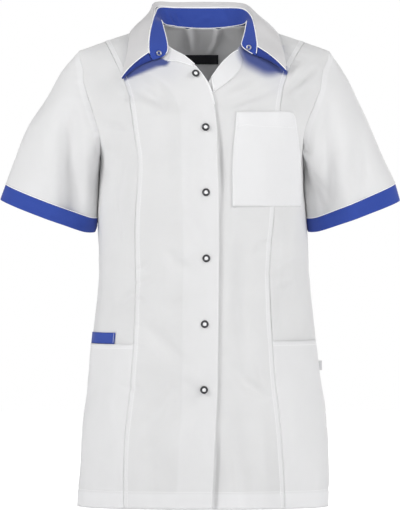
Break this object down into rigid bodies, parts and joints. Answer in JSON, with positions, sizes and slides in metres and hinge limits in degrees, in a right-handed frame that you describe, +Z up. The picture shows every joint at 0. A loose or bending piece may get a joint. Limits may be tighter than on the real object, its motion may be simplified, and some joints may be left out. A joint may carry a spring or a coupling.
{
  "type": "medical tunic",
  "caption": "White short-sleeved medical tunic with blue cuffs and inner collar, snap front and patch pockets, filled out as if worn.",
  "frame": {"origin": "middle of the neck at the height of the shoulder seams, where the wearer's shoulders hold the tunic", "axes": "+Z up the body, -Y out of the front, +X towards the wearer's left"},
  "size_m": [0.6216, 0.2788, 0.7879],
  "materials": {
    "white_cloth": "fine matt twill, white",
    "blue_cloth": "fine matt twill, royal blue",
    "dark_label": "plain dark woven label",
    "snap_metal": "dark nickelled rings"
  },
  "bodies": {
    "root": {"front_right": "white_cloth", "front_left": "white_cloth", "side_front_right": "white_cloth", "side_front_left": "white_cloth", "back": "white_cloth", "sleeve_right": "white_cloth", "sleeve_left": "white_cloth", "cuff_right": "blue_cloth", "cuff_left": "blue_cloth", "collar_upper": "white_cloth", "collar_under": "blue_cloth", "stand_inner": "blue_cloth", "stand_outer": "white_cloth", "facing_right": "white_cloth", "facing_left": "white_cloth", "pocket_chest": "white_cloth", "pocket_right": "white_cloth", "pocket_left": "white_cloth", "tab_blue": "blue_cloth", "tag_side": "white_cloth", "label_neck": "dark_label", "snap_1": "snap_metal", "snap_2": "snap_metal", "snap_3": "snap_metal", "snap_4": "snap_metal", "snap_5": "snap_metal", "snap_neck": "snap_metal", "snap_stand_right": "snap_metal", "snap_stand_left": "snap_metal"}
  },
  "joints": []
}
